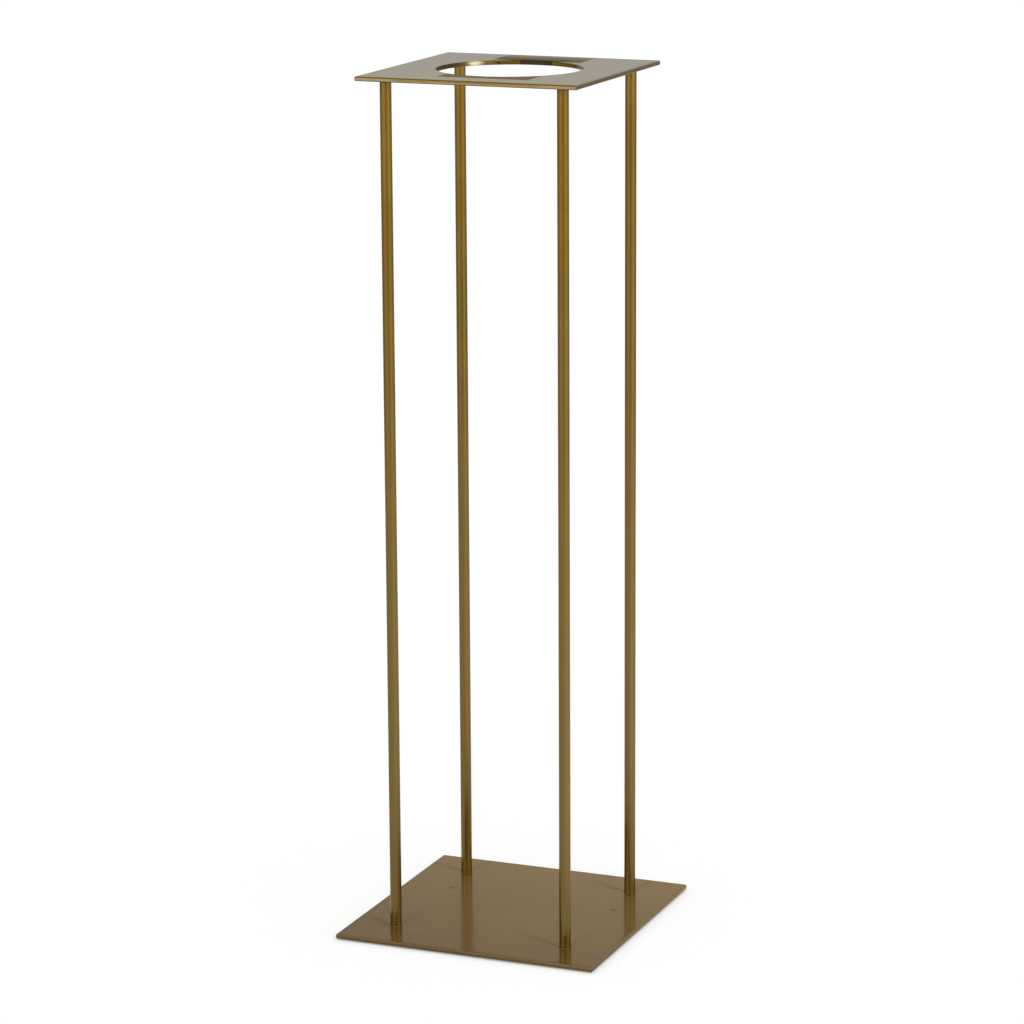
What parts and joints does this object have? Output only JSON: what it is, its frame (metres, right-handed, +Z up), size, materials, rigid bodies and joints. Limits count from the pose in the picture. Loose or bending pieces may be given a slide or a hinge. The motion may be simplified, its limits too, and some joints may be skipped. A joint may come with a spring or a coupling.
{
  "type": "pedestal column stand",
  "caption": "Open pedestal stand: a thin square top plate with a round bowl hole, held on slim round rods above a wider square base plate.",
  "frame": {"origin": "on the floor under the middle of the stand, level with the undersides of the four pads", "axes": "+Z up; +X along the front edge from left to right; +Y from the front towards the back"},
  "size_m": [0.241, 0.241, 0.756],
  "materials": {
    "plate_metal": "polished antique-brass plating on steel plate",
    "rod_metal": "polished antique-brass plating on round steel bar",
    "weld_metal": "satin weld metal under the same plating",
    "floor_pad": "matte"
  },
  "bodies": {
    "root": {"top_plate": "plate_metal", "base_plate": "plate_metal", "front_left_rod": "rod_metal", "front_right_rod": "rod_metal", "back_left_rod": "rod_metal", "back_right_rod": "rod_metal", "front_left_top_weld": "weld_metal", "front_right_top_weld": "weld_metal", "back_left_top_weld": "weld_metal", "back_right_top_weld": "weld_metal", "front_left_foot_weld": "weld_metal", "front_right_foot_weld": "weld_metal", "back_left_foot_weld": "weld_metal", "back_right_foot_weld": "weld_metal", "front_left_pad": "floor_pad", "front_right_pad": "floor_pad", "back_left_pad": "floor_pad", "back_right_pad": "floor_pad"}
  },
  "joints": []
}
